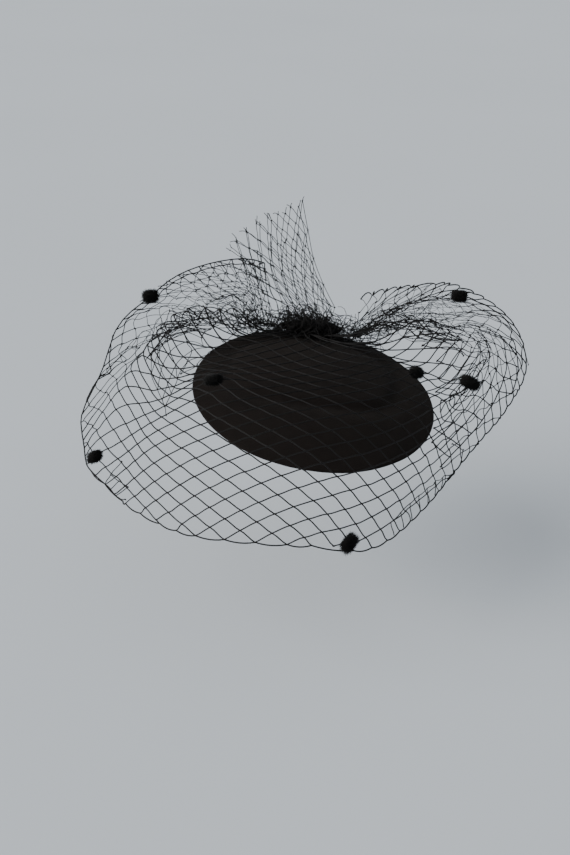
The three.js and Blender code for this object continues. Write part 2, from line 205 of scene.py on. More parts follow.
# Layers of the veil: the whole net, then the folds of it that lie under or over its two sides.
# Each has a share of the rows' slope, an offset above the sheet, its columns for each of the whole net's,
# its start and end on the way out to the hem, and its thread's radius.
LAYER_COLUMNS = ("from_bearing", "to_bearing", "turn", "offset", "fine", "from_out", "to_out", "thread")
LAYER_ROWS = (
    (-122, 124, 1.0, 0.0, 1.0, 0.0, 1.0, 0.0004),
    (-122, -98, 0.1, -0.004, 1.2, 0.1, 1.0, 0.00026),
    (-122, -104, 0.6, -0.008, 1.2, 0.0, 0.9, 0.00026),
    (-92, -36, -0.6, -0.007, 1.1, 0.06, 0.70, 0.00025),
    (-84, -40, 0.5, -0.004, 1.2, 0.06, 0.5, 0.00023),
    (-54, -41, -0.8, -0.003, 1.8, 0.91, 1.0, 0.0003),
    (14, 44, 0.9, -0.002, 1.3, 0.91, 0.99, 0.0003),
    (26, 82, 0.4, -0.007, 1.1, 0.3, 0.95, 0.0004),
    (45, 88, -0.4, -0.009, 0.7, 0.1, 0.75, 0.0003),
    (66, 108, 0.5, 0.008, 0.75, 0.16, 0.9, 0.0002),
)
OFFSET_FROM_GATHER = (0, 0.2)
OFFSET_FROM_HEM = (0, 0.1)

# How the net crumples towards the gather at its sides
CRUMPLE_LEFT = 0.007
CRUMPLE_RIGHT = 0.0025
CRUMPLE_SIDES_MEET = 0.5
CRUMPLE_LENGTH = 0.014
CRUMPLE_OUT = (0.15, 0.60)

# How the net settles: its threads keep their length and the net keeps its form
SETTLE_STEPS = 220
SETTLE_OVERSTEP = 1.4
SETTLE_SQUASH = 0.4
SETTLE_STRAIGHTEN = 0.4
SETTLE_HOME = 0.02
SETTLE_HEM = 0.25
SETTLE_FIRST = 0.03
BROW_PULL = 0.15
PUFF_PULL = 0.05
JITTER = 0.0016
JITTER_LEAST = 0.25
LEFT_BROW = (0.22, 0.30)
RIGHT_BROW = (0.68, 0.76)
FELT_CLEARANCE = 0.0009

# How strands pass their knots: leaning along the net, and turned where the net is crowded
KNOT_LEAN = 0.3
TWIST_LEAST = math.radians(4)
TWIST_CROWDED = math.radians(33)
LIFT_CROWDED = 0.25
CROWDED = 0.35

# Arches of the hem between its knots: none at the back left, shallow at the front, loops at the back right
HEM_ARCH_STEPS = 6
BROW_ARCH = 0.0011
BROW_ARCH_FROM = (0.30, 0.36)
LOOP_ARCH = 0.0032
LOOP_ARCH_FROM = (0.86, 0.92)

# Standing fan of net behind the knot, folded along these lines from left to right: x of the foot, and
# x, y and z of the tip, in millimetres
FAN_ROWS = (
    (-18, -54, 88, 68),
    (-11, -47, 80, 79),
    (-4, -35, 90, 87),
    (3, -21, 80, 95),
    (10, -7, 86, 104),
)
FAN_FOOT_Y = 0.065
FAN_BOW = (-0.004, 0.003, 0.0)
FAN_THREAD = 0.00022
FAN_CELL = {"width": 0.0105, "strand": 0.0102, "slope": 0.0, "firm": 0.0, "bunch": 0.02}
FAN_LAYERS = ((0.0, 0.0, 0.96), (-0.004, 0.004, 0.9), (-0.012, 0.0, 0.68))
LOOSE_END = (0.002, 0.005)
LOOSE_STRAY = 0.35
LOOSE_BEND = 0.3
LOOSE_STEPS = 4

# Chenille dots
DOT_COUNT = 7
DOT_NODES = [f"chenille_dot_{number}" for number in range(1, DOT_COUNT + 1)]
TIE_REACH = 0.016
DOT_HAIRS = 2600
DOT_HAIR_WIDTH = 0.00022
DOT_HAIR_ROOT = 0.9
DOT_HAIR_LEAN = 0.1
DOT_PILE = (0.95, 1.2)
DOT_CORE = 0.82
DOT_LUMP = 0.12
DOT_LUMP_LENGTH = 0.5
DOT_TURNS = 24
DOT_RINGS = 14
DOT_END = 0.99
BARREL_POWER = 2.8

# Studio: the camera stands where the photograph was taken from
CAMERA_PLACE = (-0.0176, -0.6557, 0.3281)
CAMERA_TILT = math.radians(62)
CAMERA_LENS = 50
CAMERA_SENSOR = 36
FLOOR_HEIGHT = -0.13
FLOOR_HALF = 6.0
FLOOR_CORNERS = ((-1, -1), (1, -1), (1, 1), (-1, 1))
WORLD_COLOUR = (0.84, 0.90, 0.97, 1)
WORLD_STRENGTH = 0.42
LIGHT_COLUMNS = ("name", "place", "strength", "spread", "colour")
LIGHT_ROWS = (
    ("key_light", (-1.6, -0.5, 1.0), 3.8, 45, (1.0, 0.98, 0.95)),
    ("fill_light", (1.0, -0.8, 1.8), 0.25, 70, (0.93, 0.97, 1.0)),
)


def named_rows(columns, rows):
    return [dict(zip(columns, row)) for row in rows]


def unit(vectors):
    lengths = np.linalg.norm(vectors, axis=-1, keepdims=True)
    return vectors / np.maximum(lengths, LEAST_LENGTH)


def smooth_step(low, high, value):
    share = np.clip((value - low) / (high - low), 0, 1)
    return share * share * (3 - 2 * share)


def tipped(points):
    """Points measured on the level base, turned the way that it is worn."""
    return np.asarray(points, float) @ TIPPING.T


def levelled(points):
    """The opposite of tipped."""
    return np.asarray(points, float) @ TIPPING


def dome_under(reach):
    return BASE_RISE * (1 - (reach / BASE_RADIUS) ** 2)


def dome_top(reach):
    return dome_under(reach) + FELT_WALL


def off_the_felt(points):
    """Points that lie in the felt are lifted onto it."""
    level = levelled(points)
    reach = np.hypot(level[:, 0], level[:, 1])
    lowest = dome_top(np.minimum(reach, BASE_RADIUS)) + FELT_CLEARANCE
    sunk = (reach < BASE_RADIUS) & (level[:, 2] < lowest)
    level[sunk, 2] = lowest[sunk]
    return tipped(level)


# Curves and sheets
def sums_so_far(values):
    """Running sums along the first axis, from zero."""
    return np.concatenate([np.zeros_like(values[:1]), np.cumsum(values, axis=0)])


def length_along(points):
    return sums_so_far(np.linalg.norm(np.diff(points, axis=0), axis=1))


def curve_span(points, times):
    """The stretch between the middle two of four points, each passed at its own time."""
    time = np.linspace(times[1], times[2], CURVE_STEPS, endpoint=False)[:, None]

    def between(first, second, start, end):
        return ((end - time) * first + (time - start) * second) / (end - start)

    left = between(points[0], points[1], times[0], times[1])
    middle = between(points[1], points[2], times[1], times[2])
    right = between(points[2], points[3], times[2], times[3])
    early = between(left, middle, times[0], times[2])
    late = between(middle, right, times[1], times[3])
    return between(early, late, times[1], times[2])


def smooth_curve(points):
    """A smooth curve through points, with the same number of steps from each point to the next."""
    points = np.asarray(points, float)
    points = np.vstack([2 * points[0] - points[1], points, 2 * points[-1] - points[-2]])
    gaps = np.sqrt(np.linalg.norm(np.diff(points, axis=0), axis=1))
    times = sums_so_far(np.maximum(gaps, LEAST_TIME))
    spans = [curve_span(points[k:k + 4], times[k:k + 4]) for k in range(len(points) - 3)]
    return np.vstack(spans + [points[-2:-1]])


def read_curve(curve, travel, wanted):
    return np.stack([np.interp(wanted, travel, curve[:, axis]) for axis in range(3)], axis=1)


def even_curve(points, shares):
    """A smooth curve through points, read at the given shares of its length."""
    curve = smooth_curve(points)
    travel = length_along(curve)
    return read_curve(curve, travel, shares * travel[-1])


def softened(values, reach):
    """Values smoothed along their first axis, going straight on past both ends."""
    lead = 2 * values[:1] - values[reach:0:-1]
    tail = 2 * values[-1:] - values[-2:-reach - 2:-1]
    padded = np.concatenate([lead, values, tail])
    return np.mean([padded[k:k + len(values)] for k in range(2 * reach + 1)], axis=0)


def cell_rise(width, strand):
    return np.sqrt(strand ** 2 - 0.25 * width ** 2)


def hem_step(width, strand, slope):
    """How far apart two columns of a net meet the hem, which crosses its rows at a slope."""
    return np.hypot(0.5 * width, slope * cell_rise(width, strand))


def column_marks(gaps, shares, cells, centre):
    """Where a net's columns pass the sections, level by level, and how many columns there are."""
    between = {name: 0.5 * (values[1:] + values[:-1]) for name, values in cells.items()}
    step = hem_step(between["width"], between["strand"], between["slope"])
    natural = gaps[-1] / step
    sides = [side for side in (slice(0, centre), slice(centre, len(step))) if natural[side].size]
    totals = [2 * round(natural[side].sum() / 2) for side in sides]
    marks = []
    for gap, out in zip(gaps, shares):
        held = between["firm"] * smooth_step(*FIRM_OUT, out)
        counts = held * gap / step
        loose = (1 - held) * natural
        for side, total in zip(sides, totals):
            counts[side] += loose[side] * (total - counts[side].sum()) / loose[side].sum()
        marks.append(sums_so_far(counts))
    return marks, sum(totals)


class Sheet:
    """A smooth sheet over sections that all run outward, read by the columns of its net."""

    def __init__(self, sections, cells, centre):
        self.shares = np.linspace(0, 1, SHEET_DOWN + 1)
        lines = np.array([even_curve(section, self.shares) for section in sections])
        curves = [smooth_curve(lines[:, row]) for row in range(SHEET_DOWN + 1)]
        travels = [length_along(curve) for curve in curves]
        gaps = np.array([np.diff(travel[::CURVE_STEPS]) for travel in travels])
        marks, self.columns = column_marks(gaps, self.shares, cells, centre)
        self.fine = np.arange(self.columns * SHEET_ACROSS + 1) / SHEET_ACROSS
        levels = []
        for curve, travel, mark in zip(curves, travels, marks):
            spots = np.interp(self.fine, mark, travel[::CURVE_STEPS])
            spots = softened(spots, SOFT_COLUMNS * SHEET_ACROSS)
            levels.append(read_curve(curve, travel, spots))
        self.levels = np.array(levels)
        self.along = spots / spots[-1]
        self.marks = marks[-1]
        self.centre = self.marks[centre]
        self.cells = {name: np.interp(self.fine, self.marks, values) for name, values in cells.items()}

    def point(self, column, out):
        across = np.clip(column, 0, self.columns) * SHEET_ACROSS
        down = np.clip(out, 0, 1) * SHEET_DOWN
        left = np.minimum(across.astype(int), self.columns * SHEET_ACROSS - 1)
        upper = np.minimum(down.astype(int), SHEET_DOWN - 1)
        across = (across - left)[..., None]
        down = (down - upper)[..., None]
        above = self.levels[upper, left] * (1 - across) + self.levels[upper, left + 1] * across
        below = self.levels[upper + 1, left] * (1 - across) + self.levels[upper + 1, left + 1] * across
        return above * (1 - down) + below * down

    def outward(self, column, out):
        step = 1 / SHEET_DOWN
        return unit(self.point(column, out + step) - self.point(column, out - step))

    def sideways(self, column, out):
        return unit(self.point(column + 0.5, out) - self.point(column - 0.5, out))


# Net
def summed(index, moves, count):
    return np.stack([np.bincount(index, moves[:, axis], count) for axis in range(3)], axis=1)


def times_named(index, count):
    """How often an index names each thing, counted as once where it doesn't."""
    return np.maximum(np.bincount(index.ravel(), minlength=count), 1)


def stretches(flags):
    """Start and end of each unbroken stretch of flags."""
    turns = np.flatnonzero(np.diff(np.concatenate([[0], flags.astype(int), [0]])))
    return zip(turns[::2], turns[1::2])


def diagonals(rows, columns):
    """Rows and columns along each diagonal of a table, both ways."""
    for way in (-1, 1):
        edge = 0 if way > 0 else columns - 1
        starts = [(0, column) for column in range(columns)] + [(row, edge) for row in range(1, rows)]
        for row, column in starts:
            room = columns - column if way > 0 else column + 1
            count = np.arange(min(rows - row, room))
            yield row + count, column + way * count


def strand_line(start, end, leaving, arriving, reach):
    """A strand that leaves one knot along one heading and arrives at the next along another."""
    part = np.linspace(0, 1, STRAND_STEPS, endpoint=False)[:, None]
    return (
        (2 * part ** 3 - 3 * part ** 2 + 1) * start
        + (part ** 3 - 2 * part ** 2 + part) * leaving * reach
        + (3 * part ** 2 - 2 * part ** 3) * end
        + (part ** 3 - part ** 2) * arriving * reach)


class Net:
    """One layer of diamond net on a sheet: its knots and the runs of thread through them."""

    def __init__(self, sheet, first, last, turn=1.0, offset=0.0, fine=1.0, from_out=0.0, to_out=1.0):
        start = max(first - SIDE_MARGIN, 0)
        columns = round((min(last + SIDE_MARGIN, sheet.columns) - start) * fine)
        self.spot = np.minimum(start + np.arange(columns + 1) / fine, sheet.columns)
        self.cell = {name: np.interp(self.spot, sheet.fine, values) for name, values in sheet.cells.items()}
        self.cell["width"] /= fine
        self.cell["strand"] /= min(fine, 1)
        self.cell["slope"] *= turn
        self.step = hem_step(self.cell["width"], self.cell["strand"], self.cell["slope"])
        self.square = 0.5 * self.cell["width"] / self.step
        self.counted = self.counted_rows(sheet, fine)
        tied = self.lattice(sheet, fine)
        tied &= (self.place >= first) & (self.place <= last)
        tied &= self.within(sheet, from_out, to_out)
        self.index = np.full(tied.shape, -1)
        self.index[tied] = np.arange(tied.sum())
        self.ends = []
        self.runs = self.thread_runs()
        self.row, self.column = np.nonzero(tied)
        self.lay_knots(sheet, tied, offset)

    def counted_rows(self, sheet, fine):
        """Rows that fit between the hem and each level of the sheet, column by column."""
        spot, out = np.meshgrid(self.spot, sheet.shares)
        ahead = sheet.point(spot + 1 / fine, out)
        behind = sheet.point(spot - 1 / fine, out)
        half = 0.5 * np.linalg.norm(ahead - behind, axis=2)
        half[:, 0] = half[:, 1]
        half[:, -1] = half[:, -2]
        strand = self.cell["strand"]
        tallest = np.maximum(strand ** 2 - (half * self.square) ** 2, (LOWEST_CELL * strand) ** 2)
        steps = np.linalg.norm(np.diff(sheet.point(spot, out), axis=0), axis=2)
        travel = sums_so_far(steps)
        bunch = BUNCHED_PITCH + (1 - BUNCHED_PITCH) * smooth_step(0, 1, travel / self.cell["bunch"])
        pitch = np.sqrt(tallest) * self.square * bunch
        fitting = 2 * steps / (pitch[1:] + pitch[:-1])
        return softened(sums_so_far(fitting[::-1]).T, SOFT_ROWS).T

    def lattice(self, sheet, fine):
        """Every other place in a table of rows and columns, from the hem to the gather."""
        slope = self.cell["slope"]
        rise = cell_rise(self.cell["width"], self.cell["strand"])
        lean = slope * (rise / self.step) ** 2 / fine
        climb = sums_so_far(0.5 * (slope[1:] + slope[:-1]))
        edge = np.interp(sheet.centre, self.spot, climb) - climb
        edge[np.abs(edge) < HEM_SLACK] = 0
        lowest = math.floor(edge.min()) - math.ceil(np.abs(slope).max()) - 1
        row, column = np.mgrid[lowest:math.ceil(edge.max()) + MOST_ROWS, 0:len(self.spot)]
        self.above = row - edge[column]
        self.place = self.spot[column] - lean[column] * self.above
        return ((row + column) % 2 == 0) & (self.above >= 0) & (self.above <= self.counted[-1])

    def within(self, sheet, from_out, to_out):
        """Which places of the table lie between two shares of the way out to the hem."""
        ends = [np.interp((from_out, to_out), sheet.shares, line[::-1]) for line in self.counted.T]
        inner, outer = np.array(ends).T
        return (self.above <= inner) & (self.above >= outer)

    def lay_knots(self, sheet, tied, offset):
        """Lays the knots, and after them the cut ends of threads, on the sheet and joins them."""
        knots = len(self.row)
        column = np.concatenate([self.column, [end[0] for end in self.ends]]).astype(int)
        place = np.concatenate([self.place[tied], [end[1] for end in self.ends]])
        above = np.concatenate([self.above[tied], np.zeros(len(self.ends))])
        share = np.concatenate([np.ones(knots), [end[2] for end in self.ends]])
        self.hem = above == 0
        self.place = place
        shares = sheet.shares[::-1]
        self.out = np.array([np.interp(k, self.counted[:, c], shares) for k, c in zip(above, column)])
        self.along = np.interp(place, sheet.fine, sheet.along)
        self.strand = self.cell["strand"][column]
        self.outward = sheet.outward(place, self.out)
        self.sideways = sheet.sideways(place, self.out)
        self.normal = unit(np.cross(self.outward, self.sideways))
        raised = offset * smooth_step(*OFFSET_FROM_GATHER, self.out)
        raised *= smooth_step(*OFFSET_FROM_HEM, 1 - self.out)
        self.home = sheet.point(place, self.out) + raised[:, None] * self.normal
        self.held = (self.out < SETTLE_FIRST) | (np.arange(len(place)) >= knots)
        self.pairs = np.vstack([np.stack([run[:-1], run[1:]], axis=1) for run in self.runs])
        longer = [run for run in self.runs if len(run) > 2]
        self.bends = np.vstack([np.stack([run[:-2], run[1:-1], run[2:]], axis=1) for run in longer])
        self.rest = self.strand[self.pairs].mean(axis=1) * share[self.pairs].min(axis=1)

    def cut_end(self, near, far):
        """The end of a thread that is cut where it crosses the hem, if it does."""
        if self.above[far] >= 0:
            return []
        share = self.above[near] / (self.above[near] - self.above[far])
        if share < SHORTEST_END:
            return []
        place = self.place[near] * (1 - share) + self.place[far] * share
        self.ends.append((near[1], place, share))
        return [self.index.max() + len(self.ends)]

    def thread_runs(self):
        runs = []
        for rows, columns in diagonals(*self.index.shape):
            line = self.index[rows, columns]
            spots = list(zip(rows, columns))
            for start, end in stretches(line >= 0):
                run = list(line[start:end])
                if start > 0:
                    run = self.cut_end(spots[start], spots[start - 1]) + run
                if end < len(line):
                    run = run + self.cut_end(spots[end - 1], spots[end])
                if len(run) > 1:
                    runs.append(np.array(run))
        return runs

    def spans(self):
        return self.points[self.pairs[:, 1]] - self.points[self.pairs[:, 0]]

    def settle(self, pull, jitter, random, above_felt):
        """Lets each strand find its own length while the net keeps the sheet's form."""
        count = len(self.home)
        pair_share = times_named(self.pairs, count)[:, None]
        bend_share = times_named(self.bends, count)[:, None]
        first, middle, last = self.bends.T
        self.points = self.home + random.normal(size=self.home.shape) * jitter[:, None]
        for _ in range(SETTLE_STEPS):
            span = self.spans()
            length = np.linalg.norm(span, axis=1)
            spare = (length - self.rest) / length
            firm = np.where(spare > 0, 1.0, SETTLE_SQUASH)
            move = (0.5 * firm * spare)[:, None] * span
            total = summed(self.pairs[:, 0], move, count) - summed(self.pairs[:, 1], move, count)
            self.points += SETTLE_OVERSTEP * total / pair_share
            bow = 0.5 * (self.points[first] + self.points[last]) - self.points[middle]
            total = summed(middle, 0.5 * bow, count)
            total -= summed(first, 0.25 * bow, count) + summed(last, 0.25 * bow, count)
            self.points += SETTLE_STRAIGHTEN * total / bend_share
            home = self.home - self.points
            lift = (home * self.normal).sum(axis=1, keepdims=True)
            self.points += pull[:, None] * lift * self.normal + SETTLE_HOME * home
            self.points[self.hem] += SETTLE_HEM * home[self.hem]
            self.points[self.held] = self.home[self.held]
            if above_felt:
                self.points = off_the_felt(self.points)

    def tie(self, spot):
        """Draws the nearest knot, and the net round it, to a spot."""
        gaps = spot - self.points
        nearest = np.argmin(np.linalg.norm(gaps, axis=1))
        reach = np.linalg.norm(self.points - self.points[nearest], axis=1)
        self.points = self.points + np.exp(-(reach / TIE_REACH) ** 2)[:, None] * gaps[nearest]

    def crowding(self):
        """How far the strands at each knot are pushed together, from 0 to 1."""
        share = np.linalg.norm(self.spans(), axis=1) / self.rest
        count = len(self.points)
        total = np.bincount(self.pairs.ravel(), np.repeat(share, 2), count)
        mean = total / times_named(self.pairs, count)
        return np.clip((1 - mean) / CROWDED, 0, 1)

    def along_net(self):
        """Direction along the net at each knot, from its neighbours in the same row."""
        last = self.index.shape[1] - 1
        left = self.index[self.row, np.maximum(self.column - 2, 0)]
        right = self.index[self.row, np.minimum(self.column + 2, last)]
        paired = (left >= 0) & (right >= 0) & (left != right)
        along = self.sideways.copy()
        along[:len(left)][paired] = unit(self.points[right[paired]] - self.points[left[paired]])
        return along

    def headings(self, run, along, twist, lift):
        """The way of a thread at each knot of its run: leaning along the net, turned and lifted."""
        heading = unit(np.gradient(self.points[run], axis=0))
        side = np.sign((heading * along[run]).sum(axis=1, keepdims=True))
        heading = heading + KNOT_LEAN * side * along[run]
        turn = twist[run][:, None]
        across = np.cross(self.normal[run], heading)
        heading = heading * np.cos(turn) + across * np.sin(turn)
        return unit(heading + lift[run][:, None] * self.normal[run])

    def thread_lines(self, random, radii):
        """Each run of thread as a smooth line through its knots, with its radii."""
        crowding = self.crowding()
        along = self.along_net()
        twist = (TWIST_LEAST + TWIST_CROWDED * crowding) * random.normal(size=len(crowding))
        lift = LIFT_CROWDED * crowding * random.normal(size=len(crowding))
        lines = []
        for run in self.runs:
            knots = self.points[run]
            heading = self.headings(run, along, twist, lift)
            reach = np.linalg.norm(np.diff(knots, axis=0), axis=1)
            reach = 0.5 * (reach + np.minimum(self.strand[run[:-1]], 2 * reach))
            spans = zip(knots, knots[1:], heading, heading[1:], reach)
            line = np.vstack([strand_line(*span) for span in spans] + [knots[-1:]])
            radius = radii[run] * (1 - (1 - THREAD_CROWDED) * crowding[run])
            steps = np.arange(len(line)) / STRAND_STEPS
            lines.append((line, np.interp(steps, np.arange(len(run)), radius)))
        return lines

    def bead_lines(self):
        """A short line along the net at each knot, for its bead of thread."""
        along = self.along_net()
        crowding = self.crowding()
        steps = np.linspace(-0.5, 0.5, len(BEAD_SHAPE))[:, None] * BEAD_LENGTH
        loose = np.flatnonzero(crowding[:len(self.row)] < BEAD_CROWDED)
        return [self.points[knot] + steps * along[knot] for knot in loose]

    def side_line(self, column):
        """A line along one side of the net, through its knots."""
        return smooth_curve(self.points[np.flatnonzero(self.column == column)])

    def hem_line(self, depth):
        """The edge thread, arched outward between the hem's knots."""
        hem = np.flatnonzero(self.hem)
        hem = hem[np.argsort(self.place[hem])]
        part = np.linspace(0, 1, HEM_ARCH_STEPS, endpoint=False)[:, None]
        line = []
        for first, second in zip(hem[:-1], hem[1:]):
            straight = self.points[first] * (1 - part) + self.points[second] * part
            arch = 4 * part * (1 - part) * 0.5 * (depth[first] + depth[second])
            line.append(straight + arch * unit(self.outward[first] + self.outward[second]))
        return np.vstack(line + [self.points[hem[-1:]]])


# Meshes from arrays
def ring_form(rings):
    """A closed form over rings of points, each end closed by a face."""
    rings = np.asarray(rings)
    count, turns = rings.shape[:2]
    step = np.arange(count - 1)[:, None] * turns
    here = np.arange(turns)[None]
    ahead = (here + 1) % turns
    faces = np.stack([step + here, step + ahead, step + turns + ahead, step + turns + here], axis=2)
    caps = [list(range(turns))[::-1], list(range((count - 1) * turns, count * turns))]
    return rings.reshape(-1, 3), faces.reshape(-1, 4).tolist() + caps


def tube(line, radii):
    """A round closed thread along a line."""
    heading = unit(np.gradient(line, axis=0))
    side = np.cross(heading[0], (0.0, 0.0, 1.0))
    if np.linalg.norm(side) < LEAST_SLANT:
        side = np.cross(heading[0], (0.0, 1.0, 0.0))
    frames = []
    for way in heading:
        side = unit(side - way * (side @ way))
        frames.append(side)
    first = np.array(frames)
    second = np.cross(heading, first)
    angle = np.arange(THREAD_SIDES) * 2 * math.pi / THREAD_SIDES
    ring = np.cos(angle)[:, None] * first[:, None] + np.sin(angle)[:, None] * second[:, None]
    return ring_form(line[:, None] + np.broadcast_to(radii, len(line))[:, None, None] * ring)


def hairs(roots, tips, width):
    """Thin three-sided spikes from roots to tips."""
    way = unit(tips - roots)
    first = unit(np.cross(way, way[:, [1, 2, 0]] + SIDE_SHIFT))
    second = np.cross(way, first)
    corners = [roots + 0.5 * width * (math.cos(turn) * first + math.sin(turn) * second)
               for turn in (0, 2 * math.pi / 3, 4 * math.pi / 3)]
    points = np.stack(corners + [tips], axis=1).reshape(-1, 3)
    start = np.arange(len(roots))[:, None] * (len(corners) + 1)
    sides = [start + np.array(side) for side in ((0, 1, 3), (1, 2, 3), (2, 0, 3))]
    return points, np.vstack(sides).tolist()


def make_piece(name, parts, material, replaced=()):
    """One named piece of the object from joined point and face arrays."""
    points = np.vstack([part[0] for part in parts])
    faces = []
    start = 0
    for part_points, part_faces in parts:
        faces.extend([[corner + start for corner in face] for face in part_faces])
        start += len(part_points)
    mesh = bpy.data.meshes.new(name)
    mesh.from_pydata(points.tolist(), [], faces)
    mesh.shade_smooth()
    mesh.materials.append(material)
    piece = bpy.data.objects.new(name, mesh)
    bpy.context.scene.collection.objects.link(piece)
    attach(piece, ROOT)
    if replaced:
        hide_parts(*replaced)


# Materials
class Value:
    """A number that varies over a surface; adding and multiplying make nodes for it."""

    def __init__(self, paint, socket):
        self.paint = paint
        self.socket = socket

    def sum_with(self, operation, first, second):
        return self.paint.node("ShaderNodeMath", {"operation": operation}, {0: first, 1: second})

    def __add__(self, other):
        return self.sum_with("ADD", self, other)

    def __mul__(self, other):
        return self.sum_with("MULTIPLY", self, other)

    __radd__ = __add__
    __rmul__ = __mul__


class Paint:
    """The nodes of one material."""

    def __init__(self, name, **fixed):
        self.material = bpy.data.materials.new(name)
        self.material.use_nodes = True
        self.tree = self.material.node_tree
        self.shader = self.tree.nodes["Principled BSDF"]
        for socket, value in fixed.items():
            self.shader.inputs[socket.replace("_", " ")].default_value = value

    def feed(self, socket, value):
        if isinstance(value, Value):
            self.tree.links.new(value.socket, socket)
        else:
            socket.default_value = value

    def node(self, kind, settings, sockets, output=0):
        made = self.tree.nodes.new(kind)
        for name, value in settings.items():
            setattr(made, name, value)
        for name, value in sockets.items():
            self.feed(made.inputs[name], value)
        return Value(self, made.outputs[output])

    def speckle(self, grain, detail=3.0):
        """Soft noise whose grains are about this many metres across."""
        place = self.node("ShaderNodeTexCoord", {}, {}, "Object")
        sockets = {"Vector": place, "Scale": 1 / grain, "Detail": detail}
        return self.node("ShaderNodeTexNoise", {}, sockets, "Fac")

    def blend(self, share, dark, light):
        settings = {"data_type": "RGBA"}
        return self.node("ShaderNodeMix", settings, {0: share, 6: dark, 7: light}, 2)

    def relief(self, height, depth):
        sockets = {"Height": height, "Distance": depth, "Strength": 1.0}
        return self.node("ShaderNodeBump", {}, sockets)

    def finish(self, colour, roughness, normal):
        self.feed(self.shader.inputs["Base Color"], colour)
        self.feed(self.shader.inputs["Roughness"], roughness)
        self.feed(self.shader.inputs["Normal"], normal)
        return self.material


def speckled(name, patch, grain, dark, light, roughness, relief, **fixed):
    """A material in patches from dark to light, whose fine grain adds to its roughness and relief."""
    paint = Paint(name, **fixed)
    fine = paint.speckle(grain)
    colour = paint.blend(paint.speckle(patch), dark, light)
    least, added = roughness
    return paint.finish(colour, least + added * fine, paint.relief(fine, relief))


def pressed_felt():
    paint = Paint(
        "pressed_felt", Specular_IOR_Level=0.08,
        Sheen_Weight=0.04, Sheen_Roughness=0.45, Sheen_Tint=(0.9, 0.85, 0.8, 1))
    fibre = paint.speckle(grain=0.0006, detail=4.0)
    mottle = paint.speckle(grain=0.009)
    shade = FELT_MOTTLE_SHADE * mottle + (1 - FELT_MOTTLE_SHADE) * fibre
    colour = paint.blend(shade, dark=(0.006, 0.0046, 0.004, 1), light=(0.016, 0.0126, 0.0112, 1))
    relief = paint.relief(fibre + FELT_MOTTLE_HEIGHT * mottle, depth=0.0005)
    least, added = FELT_ROUGHNESS
    return paint.finish(colour, least + added * fibre, relief)


def net_thread():
    return speckled(
        "net_thread", patch=0.02, grain=0.0003, roughness=(0.45, 0.2), relief=0.0001,
        dark=(0.0035, 0.0033, 0.0033, 1), light=(0.0095, 0.0088, 0.0085, 1), Specular_IOR_Level=0.2)


def chenille_pile():
    return speckled(
        "chenille_pile", patch=0.0012, grain=0.0012, roughness=(0.9, 0.1), relief=0.0004,
        dark=(0.0022, 0.0022, 0.0023, 1), light=(0.008, 0.0077, 0.0075, 1),
        Sheen_Weight=0.06, Sheen_Roughness=0.4, Specular_IOR_Level=0.15)


def moulded_comb():
    return speckled(
        "moulded_comb", patch=0.006, grain=0.0008, roughness=(0.3, 0.2), relief=0.00005,
        dark=(0.006, 0.006, 0.006, 1), light=(0.014, 0.013, 0.013, 1), Specular_IOR_Level=0.5)


def pale_floor():
    return speckled(
        "pale_floor", patch=0.4, grain=0.4, roughness=(0.8, 0.1), relief=0.0002,
        dark=(0.60, 0.64, 0.68, 1), light=(0.64, 0.68, 0.72, 1), Specular_IOR_Level=0.2)


# Felt base
def rough(point, amount, wave_length):
    return amount * noise.noise(Vector(point) / wave_length)


def waves(points, wave_length):
    """A smoothly varying vector for each point."""
    return np.array([noise.noise_vector(Vector(point) / wave_length) for point in points])


def pressed_in(x, y):
    """How far the felt is pressed in round its low crown."""
    across = np.abs((x - PRESSED_X) / PRESSED_HALF_WIDTH)
    along = np.abs((y - PRESSED_Y) / PRESSED_HALF_DEPTH)
    reach = (across ** PRESSED_POWER + along ** PRESSED_POWER) ** (1 / PRESSED_POWER)
    off = (reach - 1) * PRESSED_HALF_DEPTH
    off /= np.where(off < 0, PRESSED_CROWN_SIDE, PRESSED_BRIM_SIDE)
    return PRESSED_IN * (1 - smooth_step(*PRESSED_FADE, y)) * np.exp(-off ** 2)


def felt_base(material):
    edge = BASE_RADIUS - FELT_WALL / 2
    reach = edge * np.linspace(FELT_FIRST_RING, 1, FELT_DOME_STEPS)
    angle = np.linspace(-math.pi / 2, math.pi / 2, FELT_RIM_STEPS + 2)[1:-1]
    rim_reach = edge + np.cos(angle) * FELT_WALL / 2
    rim_height = dome_under(edge) + FELT_WALL / 2 * (1 + np.sin(angle))
    profile_reach = np.concatenate([reach, rim_reach, reach[::-1]])
    profile_height = np.concatenate([dome_under(reach), rim_height, dome_top(reach[::-1])])
    turn = np.linspace(0, 2 * math.pi, FELT_TURNS, endpoint=False)
    rings = np.stack([
        profile_reach[:, None] * np.cos(turn),
        profile_reach[:, None] * np.sin(turn),
        np.repeat(profile_height[:, None], FELT_TURNS, axis=1)], axis=2)
    upper = rings[-FELT_DOME_STEPS:]
    upper[:, :, 2] -= pressed_in(upper[:, :, 0], upper[:, :, 1])
    for ring in rings:
        for point in ring:
            point[2] += rough(point, FELT_WAVE, FELT_WAVE_LENGTH)
            point[2] += rough(point, FELT_PILL, FELT_PILL_LENGTH)
    points, faces = ring_form(rings)
    make_piece("felt_dome", [(tipped(points), faces)], material, ["felt_base"])


